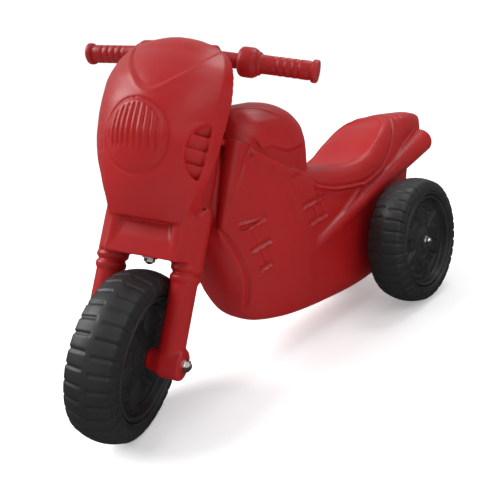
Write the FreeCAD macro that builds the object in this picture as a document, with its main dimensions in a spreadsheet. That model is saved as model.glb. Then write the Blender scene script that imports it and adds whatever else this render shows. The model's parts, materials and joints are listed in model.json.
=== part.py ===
import FreeCAD, Part
import math
import os

import Sketcher

from FreeCAD import Placement, Rotation, Vector

DIMENSIONS = (
    ("wheel_radius", 110.0, "all three wheels are the same moulding"),
    ("wheel_width", 64.0, "over the sidewalls"),
    ("hub_half_length", 22.0, "half the length of a wheel's hub"),
    ("bush_radius", 8.0, "bore of a hub, outside of its bushes"),
    ("bush_flange_radius", 12.0, "flange of a hub bush"),
    ("flange_thickness", 2.0, "flange of any bush"),
    ("wheelbase", 515.0, "front axle to rear axle, steering straight"),
    ("rear_track", 238.0, "between the rear wheels' centre planes"),
    ("axle_radius", 4.0, "both axles"),
    ("running_gap", 0.3, "between faces that turn past each other"),
    ("bore_gap", 0.08, "radial clearance of a bush on its shaft"),
    ("washer_thickness", 1.6, "all washers"),
    ("nut_length", 8.0, "over the dome of a cap nut"),
    ("nut_flats", 13.0, "across the flats of a cap nut"),
    ("rake", 27.5, "steering axis leans back from the vertical, degrees"),
    ("rest_steer", 32.5, "the fork rests turned this far to the rider's left, degrees"),
    ("tread_crown", 60.0, "radius of the tread across the wheel"),
    ("leg_offset", 53.0, "fork leg's centre line from the middle"),
    ("leg_radius", 17.5, "lower tube of a fork leg"),
    ("foot_end", 74.0, "outer face of a fork foot from the middle"),
    ("crown_bottom", 126.0, "fork crown's underside above the front axle"),
    ("crown_top", 178.0, "fork crown's upper face above the front axle"),
    ("head_length", 172.0, "body's steering head along the steering axis"),
    ("steering_radius", 4.0, "steering bolt"),
    ("arm_thickness", 30.0, "upper arm of the fork"),
    ("bar_height", 416.0, "handlebar above the front axle along the steering axis"),
    ("bar_setback", 31.0, "handlebar behind the steering axis"),
    ("bar_half_width", 172.0, "handlebar's middle to the end of a grip"),
    ("bar_droop", 3.2, "grips fall away outwards, degrees"),
    ("grip_radius", 12.5, "grip between its rings"),
    ("wall", 3.0, "thickness of the blow-moulded plastic"),
    ("pipe_radius", 25.0, "moulded exhaust pipe"),
)

HEAD_BOTTOM = "dims.crown_top + dims.running_gap + dims.flange_thickness"
HEAD_TOP = f"{HEAD_BOTTOM} + dims.head_length"
ARM_BOTTOM = f"{HEAD_TOP} + dims.flange_thickness + dims.running_gap"
ARM_TOP = f"{ARM_BOTTOM} + dims.arm_thickness"
REAR_SEAT = (
    "dims.rear_track / 2 + dims.hub_half_length + dims.flange_thickness + dims.running_gap"
)
BOSS_END = "72"
BOSS_RADIUS = 13
SCREW_OFFSET = 18
SCREW_RADIUS = 3
PAD_HALF_HEIGHT = 12
HEAD_RADIUS = 30
HEAD_FLANK = 50
CROWN_HALF_WIDTH = 50
CROWN_FRONT = -34
CROWN_REAR = 30
ARM_HALF_WIDTH = 32
ARM_REAR = 43
PIPE_FOOT = (60, 318, 158)
PIPE_TIP = (66, 672, 266)


def make_sheet(doc):
    """Puts the driving dimensions in a spreadsheet, one named cell each."""
    sheet = doc.addObject("Spreadsheet::Sheet", "dims")
    for row, (alias, size, note) in enumerate(DIMENSIONS, start=1):
        sheet.set(f"A{row}", alias)
        sheet.set(f"B{row}", str(size))
        sheet.set(f"C{row}", note)
        sheet.setAlias(f"B{row}", alias)
    doc.recompute()
    return sheet


class Kit:
    """The document, its sheet and the steps that several sub-parts share."""

    def __init__(self):
        self.doc = FreeCAD.newDocument("ride_on_motorcycle")
        self.sheet = make_sheet(self.doc)
        self.parts = []
        wheel_radius = self.size("dims.wheel_radius")
        crown = self.size("dims.tread_crown")
        rake = math.radians(self.size("dims.rake"))
        steer = math.radians(self.size("dims.rest_steer"))
        lean = math.asin(math.sin(rake) * math.sin(steer))
        self.rear = Vector(0, self.size("dims.wheelbase"), wheel_radius)
        self.front = Vector(0, 0, (wheel_radius - crown) * math.cos(lean) + crown)
        self.raked = Placement(self.front, Rotation(Vector(1, 0, 0), -self.size("dims.rake")))
        turned = Placement(Vector(), Rotation(Vector(0, 0, 1), self.size("dims.rest_steer")))
        self.fork = self.raked.multiply(turned)

    def size(self, expression):
        """The number that a sheet expression stands for."""
        return float(self.sheet.evalExpression(expression))

    def body(self, label, placement):
        """An empty PartDesign body that becomes the sub-part called label."""
        body = self.doc.addObject("PartDesign::Body", label)
        body.Label = label
        body.Placement = placement
        self.parts.append(body)
        return body

    def feature(self, label, shape, placement):
        """A sub-part whose free-form shape is made by Part's own functions."""
        feature = self.doc.addObject("Part::Feature", label)
        feature.Label = label
        feature.Shape = shape
        feature.Placement = placement
        self.parts.append(feature)
        return feature

    def sketch(self, body, role, name, height="0"):
        """A sketch on one of the body's origin planes, or at a height above it."""
        plane = next(f for f in body.Origin.OriginFeatures if f.Role == role)
        sketch = body.newObject("Sketcher::SketchObject", f"{body.Name}_{name}")
        sketch.AttachmentSupport = [(plane, "")]
        sketch.MapMode = "FlatFace"
        sketch.setExpression("AttachmentOffset.Base.z", height)
        return sketch

    def place_point(self, sketch, edge, end, across, along):
        """Holds one end of an edge at a pair of sheet expressions."""
        for kind, expression in (("DistanceX", across), ("DistanceY", along)):
            number = sketch.addConstraint(
                Sketcher.Constraint(kind, -1, 1, edge, end, self.size(expression))
            )
            sketch.setExpression(f"Constraints[{number}]", expression)

    def outline(self, sketch, corners):
        """Closed counter-clockwise outline through (across, along) pairs of sheet expressions.

        A third value in a corner makes the edge that arrives there an arc of that radius,
        bulging outwards.
        """
        first = sketch.GeometryCount
        spots = [Vector(self.size(corner[0]), self.size(corner[1]), 0) for corner in corners]
        for index, corner in enumerate(corners):
            start = spots[index - 1]
            end = spots[index]
            if len(corner) == 2:
                sketch.addGeometry(Part.LineSegment(start, end))
                continue
            radius = self.size(corner[2])
            chord = end.sub(start)
            rise = radius - math.sqrt(radius**2 - chord.Length**2 / 4)
            outward = Vector(chord.y, -chord.x, 0).normalize() * rise
            sketch.addGeometry(Part.Arc(start, (start + end) * 0.5 + outward, end))
        for index, corner in enumerate(corners):
            edge = first + index
            following = first + (index + 1) % len(corners)
            sketch.addConstraint(Sketcher.Constraint("Coincident", edge, 2, following, 1))
            self.place_point(sketch, edge, 2, corner[0], corner[1])
            if len(corner) == 3:
                radius = self.size(corner[2])
                number = sketch.addConstraint(Sketcher.Constraint("Radius", edge, radius))
                sketch.setExpression(f"Constraints[{number}]", corner[2])
        return sketch

    def turn(self, body, sketch):
        """Revolves a sketch once about the body's own X axis."""
        turned = body.newObject("PartDesign::Revolution", f"{body.Name}_turn")
        turned.Profile = sketch
        turned.ReferenceAxis = (sketch, ["H_Axis"])
        turned.Angle = 360.0
        body.Tip = turned
        return turned

    def tube(self, label, placement, inner, outer, start, end):
        """A plain turned sleeve, ring or washer along its own X axis."""
        body = self.body(label, placement)
        sketch = self.sketch(body, "XY_Plane", "section")
        self.outline(sketch, ((start, inner), (end, inner), (end, outer), (start, outer)))
        self.turn(body, sketch)
        return body


def mirrored(half):
    """The right half of a counter-clockwise outline, followed by its mirror image.

    An arc's radius belongs to the corner where it arrives, so on the mirrored side it
    moves to the corner where the same arc ends. A last corner on the middle line has no
    mirror image.
    """
    count = len(half) - 1 if half[-1][0] == "0" else len(half)
    left = []
    for index in reversed(range(count)):
        across, along = half[index][:2]
        arrival = half[index + 1][2:] if index + 1 < len(half) else ()
        left.append((f"-({across})", along) + arrival)
    return tuple(half) + tuple(left)


def make_wheel(kit, label, placement):
    """A hollow blow-moulded wheel: rounded tread, ringed sidewalls, dished discs, conical hub."""
    body = kit.body(label, placement)
    sketch = kit.sketch(body, "XY_Plane", "section")
    side = "dims.wheel_width / 2"
    rim = "dims.wheel_radius"
    skin = mirrored(
        (
            ("dims.hub_half_length", "dims.bush_radius"),
            ("dims.hub_half_length", "dims.bush_radius + 5"),
            (f"{side} - 17", f"{rim} - 84"),
            (f"{side} - 17", f"{rim} - 38"),
            (f"{side} - 4", f"{rim} - 35"),
            (f"{side} - 3", f"{rim} - 31"),
            (f"{side} - 7", f"{rim} - 30"),
            (f"{side} - 7", f"{rim} - 28"),
            (f"{side} - 2", f"{rim} - 27"),
            (side, f"{rim} - 22"),
            (f"{side} - 8", f"{rim} - 5", "18"),
            ("0", rim, "dims.tread_crown"),
        )
    )
    kit.outline(sketch, skin)
    cavity = mirrored(
        (
            (f"{side} - 20", f"{rim} - 81"),
            (f"{side} - 20", f"{rim} - 36"),
            (f"{side} - 11", f"{rim} - 32"),
            (f"{side} - 11", f"{rim} - 26"),
            (f"{side} - 4", f"{rim} - 20"),
            (f"{side} - 10", f"{rim} - 8"),
            ("0", f"{rim} - dims.wall", "dims.tread_crown"),
        )
    )
    kit.outline(sketch, cavity)
    kit.turn(body, sketch)
    return body


def make_bush(kit, label, placement):
    """A flanged plastic bush pushed into the +X end of a hub."""
    body = kit.body(label, placement)
    sketch = kit.sketch(body, "XY_Plane", "section")
    bore = "dims.axle_radius + dims.bore_gap"
    sleeve = "dims.bush_radius - 0.02"
    hub = "dims.hub_half_length"
    kit.outline(
        sketch,
        (
            (f"{hub} - 18", bore),
            (f"{hub} + dims.flange_thickness", bore),
            (f"{hub} + dims.flange_thickness", "dims.bush_flange_radius"),
            (hub, "dims.bush_flange_radius"),
            (hub, sleeve),
            (f"{hub} - 18", sleeve),
        ),
    )
    kit.turn(body, sketch)
    return body


def make_head_bush(kit, label, placement, face, side):
    """A flanged bush in one end of the steering head; side +1 is the upper end."""
    body = kit.body(label, placement)
    sketch = kit.sketch(body, "XY_Plane", "section")
    bore = "dims.steering_radius + dims.bore_gap"
    sleeve = "dims.bush_radius - 0.02"
    flange = f"{face} + {side} * dims.flange_thickness"
    stem = f"{face} - {side} * 20"
    profile = [
        (stem, bore),
        (flange, bore),
        (flange, "dims.bush_flange_radius + 3"),
        (face, "dims.bush_flange_radius + 3"),
        (face, sleeve),
        (stem, sleeve),
    ]
    if side < 0:
        profile.reverse()
    kit.outline(sketch, profile)
    kit.turn(body, sketch)
    return body


def make_cap_nut(kit, label, placement, bore):
    """A domed hexagon nut, its seat at the origin and its dome towards +X."""
    body = kit.body(label, placement)
    sketch = kit.sketch(body, "YZ_Plane", "hexagon")
    flat = kit.size("dims.nut_flats") / 2
    corner = flat / math.cos(math.radians(30))
    spots = [
        Vector(corner * math.cos(math.radians(60 * k)), corner * math.sin(math.radians(60 * k)), 0)
        for k in range(6)
    ]
    for k in range(6):
        sketch.addGeometry(Part.LineSegment(spots[k], spots[(k + 1) % 6]))
    circle = sketch.addGeometry(Part.Circle(Vector(), Vector(0, 0, 1), corner), True)
    sketch.addConstraint(Sketcher.Constraint("Coincident", circle, 3, -1, 1))
    for k in range(6):
        sketch.addConstraint(Sketcher.Constraint("Coincident", k, 2, (k + 1) % 6, 1))
        sketch.addConstraint(Sketcher.Constraint("PointOnObject", k, 1, circle))
    for k in range(1, 6):
        sketch.addConstraint(Sketcher.Constraint("Equal", 0, k))
    sketch.addConstraint(Sketcher.Constraint("PointOnObject", 0, 1, -1))
    number = sketch.addConstraint(Sketcher.Constraint("Radius", circle, corner))
    sketch.setExpression(f"Constraints[{number}]", "dims.nut_flats / 2 / cos(30 deg)")
    pad = body.newObject("PartDesign::Pad", f"{body.Name}_pad")
    pad.Profile = sketch
    pad.setExpression("Length", "dims.nut_length - 3.5")
    dome_sketch = kit.sketch(body, "XY_Plane", "dome")
    kit.outline(
        dome_sketch,
        (
            ("1", "0"),
            ("dims.nut_length", "0"),
            ("dims.nut_length - 3.5", "dims.nut_flats / 2 - 0.7", "7"),
            ("1", "dims.nut_flats / 2 - 0.7"),
        ),
    )
    dome = kit.turn(body, dome_sketch)
    hole_sketch = kit.sketch(body, "XY_Plane", "thread")
    kit.outline(
        hole_sketch,
        (
            ("-1", "0"),
            ("dims.nut_length - 2", "0"),
            ("dims.nut_length - 2", bore),
            ("-1", bore),
        ),
    )
    hole = body.newObject("PartDesign::Groove", f"{body.Name}_thread")
    hole.Profile = hole_sketch
    hole.ReferenceAxis = (hole_sketch, ["H_Axis"])
    hole.Angle = 360.0
    body.Tip = hole
    kit.doc.recompute()
    assert body.Shape.Volume < dome.Shape.Volume - 1
    return body


def make_axle(kit, label, placement, half_length):
    """A plain steel rod along X with chamfered ends."""
    body = kit.body(label, placement)
    sketch = kit.sketch(body, "XY_Plane", "section")
    end = half_length
    kit.outline(
        sketch,
        (
            (f"-({end})", "0"),
            (end, "0"),
            (end, "dims.axle_radius - 0.8"),
            (f"{end} - 0.8", "dims.axle_radius"),
            (f"-({end} - 0.8)", "dims.axle_radius"),
            (f"-({end})", "dims.axle_radius - 0.8"),
        ),
    )
    kit.turn(body, sketch)
    return body


def make_steering_bolt(kit, placement):
    """The long bolt that joins the fork's arm and crown through the steering head."""
    body = kit.body("steering_bolt", placement)
    sketch = kit.sketch(body, "XY_Plane", "section")
    seat = ARM_TOP + " + dims.washer_thickness"
    kit.outline(
        sketch,
        (
            ("dims.crown_bottom - 7", "0"),
            (f"{seat} + 6.5", "0"),
            (f"{seat} + 6.5", "7.5"),
            (f"{seat} + 5", "9"),
            (seat, "9"),
            (seat, "dims.steering_radius"),
            ("dims.crown_bottom - 7", "dims.steering_radius"),
        ),
    )
    kit.turn(body, sketch)
    return body


def make_handlebar(kit):
    """One hollow bar: flat pad bolted to the arm, switch-gear barrels and ringed grips."""
    body = kit.body("handlebar", kit.fork)
    pad_sketch = kit.sketch(body, "XY_Plane", "pad", f"dims.bar_height - {PAD_HALF_HEIGHT}")
    kit.outline(
        pad_sketch,
        (
            ("-32", "dims.bar_setback - 14"),
            ("32", "dims.bar_setback - 14"),
            ("32", "dims.bar_setback + 14"),
            ("-32", "dims.bar_setback + 14"),
        ),
    )
    for side in (-1, 1):
        centre = Vector(side * SCREW_OFFSET, kit.size("dims.bar_setback"), 0)
        hole = pad_sketch.addGeometry(Part.Circle(centre, Vector(0, 0, 1), SCREW_RADIUS + 0.05))
        kit.place_point(pad_sketch, hole, 3, f"{side} * {SCREW_OFFSET}", "dims.bar_setback")
        pad_sketch.addConstraint(Sketcher.Constraint("Radius", hole, SCREW_RADIUS + 0.05))
    pad = body.newObject("PartDesign::Pad", "bar_pad")
    pad.Profile = pad_sketch
    pad.Length = 2 * PAD_HALF_HEIGHT
    arm_sketch = kit.sketch(body, "XZ_Plane", "arm")
    arm_sketch.AttachmentOffset = Placement(Vector(), Rotation(Vector(0, 0, 1), -1))
    arm_sketch.setExpression("AttachmentOffset.Base.z", "-dims.bar_setback")
    arm_sketch.setExpression("AttachmentOffset.Base.y", "dims.bar_height")
    arm_sketch.setExpression("AttachmentOffset.Rotation.Angle", "-dims.bar_droop")
    end = "dims.bar_half_width"
    grip = "dims.grip_radius"
    rings = []
    for distance in (60, 46, 32, 18):
        rings.append((f"{end} - {distance}", f"{grip} - 1"))
        rings.append((f"{end} - {distance} - 2", grip))
        rings.append((f"{end} - {distance} - 10", grip))
        rings.append((f"{end} - {distance} - 12", f"{grip} - 1"))
    rings.sort(key=lambda corner: -kit.size(corner[0]))
    kit.outline(
        arm_sketch,
        (
            ("24", f"{grip} - 5.5"),
            (f"{end} - 4", f"{grip} - 5.5"),
            (f"{end} - 4", "0"),
            (end, "0"),
            (end, f"{grip} + 1"),
            (f"{end} - 2", f"{grip} + 2.5"),
            (f"{end} - 6", f"{grip} + 2.5"),
            (f"{end} - 8", f"{grip} - 1"),
            *rings,
            (f"{end} - 76", f"{grip} + 1"),
            (f"{end} - 78", f"{grip} + 6"),
            (f"{end} - 82", f"{grip} + 7.5"),
            (f"{end} - 104", f"{grip} + 7.5"),
            (f"{end} - 108", f"{grip} + 5"),
            (f"{end} - 112", f"{grip} - 2"),
            ("24", f"{grip} - 2"),
        ),
    )
    arm = kit.turn(body, arm_sketch)
    mirror = body.newObject("PartDesign::Mirrored", "far_arm")
    mirror.Originals = [arm]
    plane = next(f for f in body.Origin.OriginFeatures if f.Role == "YZ_Plane")
    mirror.MirrorPlane = (plane, [""])
    body.Tip = mirror
    return body


def make_screw(kit, label, placement):
    """A pan-head screw standing along Z, the underside of its head at the origin."""
    body = kit.body(label, placement)
    sketch = kit.sketch(body, "XZ_Plane", "section")
    kit.outline(
        sketch,
        (
            ("0", "-36"),
            (f"{SCREW_RADIUS}", "-36"),
            (f"{SCREW_RADIUS}", "0"),
            ("6", "0"),
            ("5", "3"),
            ("0", "4"),
        ),
    )
    turned = body.newObject("PartDesign::Revolution", f"{body.Name}_turn")
    turned.Profile = sketch
    turned.ReferenceAxis = (sketch, ["V_Axis"])
    turned.Angle = 360.0
    body.Tip = turned
    return body


def block(low, high):
    """A box between two opposite corners."""
    reach = Vector(*high) - Vector(*low)
    return Part.makeBox(reach.x, reach.y, reach.z, Vector(*low))


def rod(radius, start, end):
    """A round bar between two points."""
    run = end - start
    return Part.makeCylinder(radius, run.Length, start, run)


def collar(axis_start, direction, stations):
    """A turned solid along direction: stations are (distance, radius) pairs."""
    across = Vector(0, 0, 1).cross(direction)
    if across.Length < 0.5:
        across = Vector(1, 0, 0)
    across.normalize()
    spots = [axis_start + direction * distance + across * radius for distance, radius in stations]
    ends = [axis_start + direction * stations[-1][0], axis_start + direction * stations[0][0]]
    profile = Part.makePolygon([*spots, *ends, spots[0]])
    return Part.Face(profile).revolve(axis_start, direction, 360)


def smooth_solid(rings):
    """A closed solid lofted through rings of points."""
    wires = []
    for points in rings:
        curve = Part.BSplineCurve()
        curve.interpolate(Points=points, PeriodicFlag=True)
        wires.append(Part.Wire(curve.toShape()))
    return Part.makeLoft(wires, True, False)


def between(stations, place):
    """Value at place of a smooth curve through (place, value) stations that never overshoots."""
    if place <= stations[0][0]:
        return stations[0][1]
    if place >= stations[-1][0]:
        return stations[-1][1]
    slopes = [
        (end[1] - start[1]) / (end[0] - start[0]) for start, end in zip(stations, stations[1:])
    ]
    tangents = [slopes[0]]
    for before, after in zip(slopes, slopes[1:]):
        same_way = before * after > 0
        tangents.append(2 * before * after / (before + after) if same_way else 0.0)
    tangents.append(slopes[-1])
    index = max(i for i in range(len(slopes)) if stations[i][0] <= place)
    (low, start), (high, end) = stations[index : index + 2]
    span = high - low
    share = (place - low) / span
    rest = 1 - share
    return (
        start * rest * rest * (1 + 2 * share)
        + end * share * share * (1 + 2 * rest)
        + span * share * rest * (tangents[index] * rest - tangents[index + 1] * share)
    )


# The main body, front to rear: height of its top along the middle, height of the belly,
# and half width below and above the seat line. The tank is a form of its own.
BODY_TOP = (
    (134, 236), (156, 292), (206, 344), (291, 300), (380, 274), (436, 267), (478, 280),
    (518, 303), (566, 320), (620, 325), (660, 325), (694, 319),
)
BODY_BELLY = (
    (134, 200), (142, 158), (153, 118), (168, 90), (194, 73), (250, 59), (330, 48), (440, 41),
    (500, 44), (545, 58), (585, 104), (612, 160), (632, 238), (660, 252), (694, 262),
)
LOWER_HALF_WIDTH = ((134, 24), (142, 40), (154, 51), (190, 60), (300, 62), (560, 62), (694, 54))
UPPER_HALF_WIDTH = (
    (134, 24), (156, 46), (206, 56), (300, 62), (370, 64), (410, 70), (470, 76),
    (540, 72), (620, 62), (694, 54),
)
BODY_STATIONS = (
    134, 137, 143, 153, 168, 192, 220, 260, 300, 340, 375, 400, 430, 455, 485, 515, 545, 575,
    600, 620, 640, 662, 684, 694,
)
# The tank, bottom to top: height, front end, rear end, half width.
TANK_SECTIONS = (
    (252, 150, 361, 54), (285, 165, 362, 57), (315, 180, 363, 58), (340, 192, 359, 56),
    (362, 202, 344, 50), (378, 212, 322, 39), (388, 222, 298, 24), (392, 232, 278, 8),
)


def rounded_point(angle, lower, upper):
    """A point of a rounded square of half width 1; the powers set how square it is."""
    power = upper if math.sin(angle) > 0 else lower
    across = math.copysign(abs(math.cos(angle)) ** power, math.cos(angle))
    rise = math.copysign(abs(math.sin(angle)) ** power, math.sin(angle))
    return across, rise


def body_ring(place, inset):
    """The body's rounded-square outline at one distance back, drawn in by inset."""
    reach = (place - inset, place, place + inset)
    top = min(between(BODY_TOP, spot) for spot in reach) - inset
    belly = max(between(BODY_BELLY, spot) for spot in reach) + inset
    lower = between(LOWER_HALF_WIDTH, place) - inset
    upper = between(UPPER_HALF_WIDTH, place) - inset
    middle = (top + belly) / 2
    half_height = (top - belly) / 2
    points = []
    for step in range(32):
        across, rise = rounded_point(math.tau * (step + 0.5) / 32, 0.4, 0.55)
        height = middle + half_height * rise
        half_width = lower + (upper - lower) * between(((190, 0), (250, 1)), height)
        points.append(Vector(half_width * across, place, height))
    return points


def body_form(inset):
    """Front bulge, belly, saddle and tail in one free form."""
    front = BODY_STATIONS[0] + inset
    rear = BODY_STATIONS[-1] - inset
    places = [place for place in BODY_STATIONS if front < place < rear]
    return smooth_solid([body_ring(place, inset) for place in (front, *places, rear)])


def tank_form(inset):
    """The bulging tank in front of the saddle."""
    rings = []
    for height, front, rear, half_width in TANK_SECTIONS:
        middle = (front + rear) / 2
        half_length = (rear - front) / 2 - inset
        top = TANK_SECTIONS[-1][0] == height
        points = []
        for step in range(24):
            across, along = rounded_point(math.tau * (step + 0.5) / 24, 0.8, 0.7)
            points.append(
                Vector(
                    max(half_width - inset, 4) * across,
                    middle + half_length * along,
                    height - (inset if top else 0),
                )
            )
        rings.append(points)
    return smooth_solid(rings)


def head_form(kit, inset):
    """The steering head: a round post on the steering axis, with a wider column behind it."""
    nose = HEAD_RADIUS - inset
    flank = HEAD_FLANK - inset
    base = kit.size(HEAD_BOTTOM) + inset
    length = kit.size("dims.head_length") - 2 * inset
    front = Part.Arc(Vector(nose, 0, base), Vector(0, -nose, base), Vector(-nose, 0, base))
    loop = [
        front.toShape(),
        Part.makeLine(Vector(-nose, 0, base), Vector(-nose, 60, base)),
        Part.makeLine(Vector(-nose, 60, base), Vector(nose, 60, base)),
        Part.makeLine(Vector(nose, 60, base), Vector(nose, 0, base)),
    ]
    post = Part.Face(Part.Wire(loop)).extrude(Vector(0, 0, length))
    corners = [(-nose, 52), (-flank, 78), (-flank, 96), (flank, 96), (flank, 78), (nose, 52)]
    spots = [Vector(across, along, base) for across, along in corners]
    column = Part.Face(Part.makePolygon([*spots, spots[0]])).extrude(Vector(0, 0, length - 58))
    head = post.fuse(column)
    head.Placement = kit.raked
    return head


def pipe_form(kit, side, inset):
    """One moulded exhaust pipe, rising towards the tail."""
    mirror = Vector(side, 1, 1)
    foot = Vector(*PIPE_FOOT).scale(*mirror)
    run = Vector(*PIPE_TIP).scale(*mirror) - foot
    radius = kit.size("dims.pipe_radius") - inset
    stations = (
        (inset, radius - 7),
        (30 + inset, radius),
        (run.Length - 6, radius),
        (run.Length - inset, radius - 5),
    )
    return collar(foot, run.normalize(), stations)


def make_body_shell(kit):
    """The hollow blow-moulded body with its steering head, exhaust pipes and axle bosses."""
    wall = kit.size("dims.wall")
    outer = body_form(0)
    inner = body_form(wall)
    pipes = [pipe_form(kit, side, 0) for side in (-1, 1)]
    bores = [pipe_form(kit, side, wall) for side in (-1, 1)]
    outer = outer.fuse([tank_form(0), head_form(kit, 0), *pipes])
    inner = inner.fuse([tank_form(wall), head_form(kit, wall), *bores])
    shell = outer.cut(inner)
    boss_end = Vector(kit.size(BOSS_END), 0, 0)
    boss = rod(BOSS_RADIUS, kit.rear - boss_end, kit.rear + boss_end)
    axle_hole = rod(kit.size("dims.axle_radius") + 0.05, kit.rear - boss_end * 2, kit.rear + boss_end * 2)
    base = Vector(0, 0, kit.size(HEAD_BOTTOM))
    top = Vector(0, 0, kit.size(HEAD_TOP))
    bush = kit.size("dims.bush_radius")
    post = rod(bush + 4, base, top)
    bore = rod(bush, base, top)
    post.Placement = kit.raked
    bore.Placement = kit.raked
    shell = shell.fuse([boss, post]).cut([axle_hole, bore])
    return kit.feature("body_shell", shell.removeSplitter(), Placement())


FAIRING_SECTIONS = (
    # height, half width, middle of the front, corner of the front, open rear edge
    (172, 56, -46, -36, -16),
    (192, 62, -62, -42, -28),
    (215, 69, -78, -49, -36),
    (240, 77, -89, -54, -40),
    (270, 81, -97, -59, -38),
    (300, 82, -98, -61, -34),
    (330, 82, -90, -60, -30),
    (360, 79, -76, -56, -26),
    (384, 76, -59, -47, -24),
    (400, 68, -45, -38, -24),
    (408, 48, -35, -32, -24),
)


def fairing_wire(height, half_width, front, corner, rear):
    """A D-shaped outline with its bow to the front."""
    nose = half_width - 5
    right = Vector(nose, corner, height)
    left = Vector(-nose, corner, height)
    back_left = Vector(-half_width, rear, height)
    back_right = Vector(half_width, rear, height)
    return Part.Wire(
        [
            Part.Arc(right, Vector(0, front, height), left).toShape(),
            Part.makeLine(left, back_left),
            Part.makeLine(back_left, back_right),
            Part.makeLine(back_right, right),
        ]
    )


def fairing_form(inset):
    """The headlamp fairing as a solid, drawn in by inset and left open to the rear."""
    wires = []
    for height, half_width, front, corner, rear in FAIRING_SECTIONS:
        if height == FAIRING_SECTIONS[0][0]:
            height += inset
        if height == FAIRING_SECTIONS[-1][0]:
            height -= inset
        opening = rear + (30 if inset else 0)
        wires.append(
            fairing_wire(height, half_width - inset, front + inset, corner + inset, opening)
        )
    return Part.makeLoft(wires, True, False)


def fork_leg(kit, side):
    """One fork leg: ringed joint, shroud, a peak over its outer front, and the foot."""
    across = kit.size("dims.leg_offset") * side
    crown_top = kit.size("dims.crown_top")
    radius = kit.size("dims.leg_radius")
    shroud = radius + 2.5
    stations = (
        (-2, radius), (104, radius), (106, shroud), (111, shroud), (113, radius), (115, radius),
        (117, shroud + 1), (122, shroud + 1), (124, shroud), (crown_top, shroud),
    )
    leg = collar(Vector(across, 0, 0), Vector(0, 0, 1), stations)
    peak_top = crown_top + 22
    peak = rod(shroud, Vector(across, 0, crown_top), Vector(across, 0, peak_top))
    inner, outer = sorted((side * 50, side * 74))
    outer_front = block((inner, -22, crown_top), (outer, 3, peak_top))
    inner_foot = kit.size("dims.hub_half_length + dims.flange_thickness + dims.running_gap")
    foot_end = kit.size("dims.foot_end")
    foot = collar(
        Vector(),
        Vector(side, 0, 0),
        ((inner_foot, 13), (34, 15), (46, 20), (foot_end - 2, 20), (foot_end, 18)),
    )
    return leg.fuse([peak.common(outer_front), foot])


def leg_hollow(kit, side):
    """The hollow of a fork leg, closed above the foot and below the peak."""
    across = kit.size("dims.leg_offset") * side
    wall = kit.size("dims.wall")
    radius = kit.size("dims.leg_radius") - wall
    shroud = radius + 2.5
    top = kit.size("dims.crown_top") - wall
    return collar(
        Vector(across, 0, 0),
        Vector(0, 0, 1),
        ((26, radius), (120, radius), (124, shroud), (top, shroud)),
    )


def make_fork_fairing(kit):
    """The hollow steered moulding: two legs, crown, headlamp fairing and upper arm."""
    wall = kit.size("dims.wall")
    crown_bottom = kit.size("dims.crown_bottom")
    crown_top = kit.size("dims.crown_top")
    arm_bottom = kit.size(ARM_BOTTOM)
    arm_top = kit.size(ARM_TOP)
    setback = kit.size("dims.bar_setback")
    pad_bottom = kit.size("dims.bar_height") - PAD_HALF_HEIGHT
    bolt = kit.size("dims.steering_radius")
    axle = kit.size("dims.axle_radius")

    crown = block(
        (-CROWN_HALF_WIDTH, CROWN_FRONT, crown_bottom), (CROWN_HALF_WIDTH, CROWN_REAR, crown_top)
    )
    crown_hollow = block(
        (wall - CROWN_HALF_WIDTH, CROWN_FRONT + wall, crown_bottom + wall),
        (CROWN_HALF_WIDTH - wall, CROWN_REAR - wall, crown_top - wall),
    )
    arm_tail = block((-ARM_HALF_WIDTH, CROWN_FRONT, arm_bottom), (ARM_HALF_WIDTH, ARM_REAR, arm_top))
    pedestal = block((-25, setback - 12, arm_top - 1), (25, ARM_REAR, pad_bottom))
    legs = [fork_leg(kit, side) for side in (-1, 1)]
    outer = fairing_form(0).fuse([crown, arm_tail, pedestal, *legs])
    hollows = [fairing_form(wall), crown_hollow, *[leg_hollow(kit, side) for side in (-1, 1)]]

    # The arm reaches forward to the fairing's front wall and is trimmed to its outline.
    arm = block((-ARM_HALF_WIDTH, -85, arm_bottom), (ARM_HALF_WIDTH, ARM_REAR, arm_top))
    inside = [
        arm.common(outer),
        rod(bolt + 5, Vector(0, 0, crown_bottom), Vector(0, 0, crown_top)),
    ]
    holes = [
        rod(axle + 0.05, Vector(-100, 0, 0), Vector(100, 0, 0)),
        rod(bolt + 0.05, Vector(0, 0, 110), Vector(0, 0, arm_top + 10)),
    ]
    for side in (-1, 1):
        screw_top = Vector(side * SCREW_OFFSET, setback, pad_bottom)
        inside.append(rod(SCREW_RADIUS + 4, screw_top - Vector(0, 0, 20), screw_top))
        holes.append(rod(SCREW_RADIUS + 0.02, screw_top - Vector(0, 0, 33), screw_top + Vector(0, 0, 1)))
    moulding = outer.cut(hollows).fuse(inside).cut(holes)
    return kit.feature("fork_fairing", moulding.removeSplitter(), kit.fork)


def axle_place(base, side):
    """The base placement, turned about Z for the far side, so that +X points outwards."""
    facing = Placement(Vector(), Rotation(Vector(0, 0, 1), 0 if side > 0 else 180))
    return base.multiply(facing)


def make_wheel_set(kit, name, base):
    """A wheel and its two bushes."""
    make_wheel(kit, f"{name}_wheel", base)
    for label, side in (("left", 1), ("right", -1)):
        make_bush(kit, f"{name}_{label}_hub_bush", axle_place(base, side))


def make_axle_ends(kit, name, base, seat):
    """Washers and cap nuts at both ends of an axle; seat is the washer's inner face."""
    for label, side in (("left", 1), ("right", -1)):
        outward = axle_place(base, side)
        washer_end = f"{seat} + dims.washer_thickness"
        hole = "dims.axle_radius + 0.3"
        kit.tube(f"{name}_{label}_washer", outward, hole, "dims.axle_radius + 5", seat, washer_end)
        nut_seat = Placement(Vector(kit.size(washer_end), 0, 0), Rotation())
        make_cap_nut(kit, f"{name}_{label}_cap_nut", outward.multiply(nut_seat), "dims.axle_radius")


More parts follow.
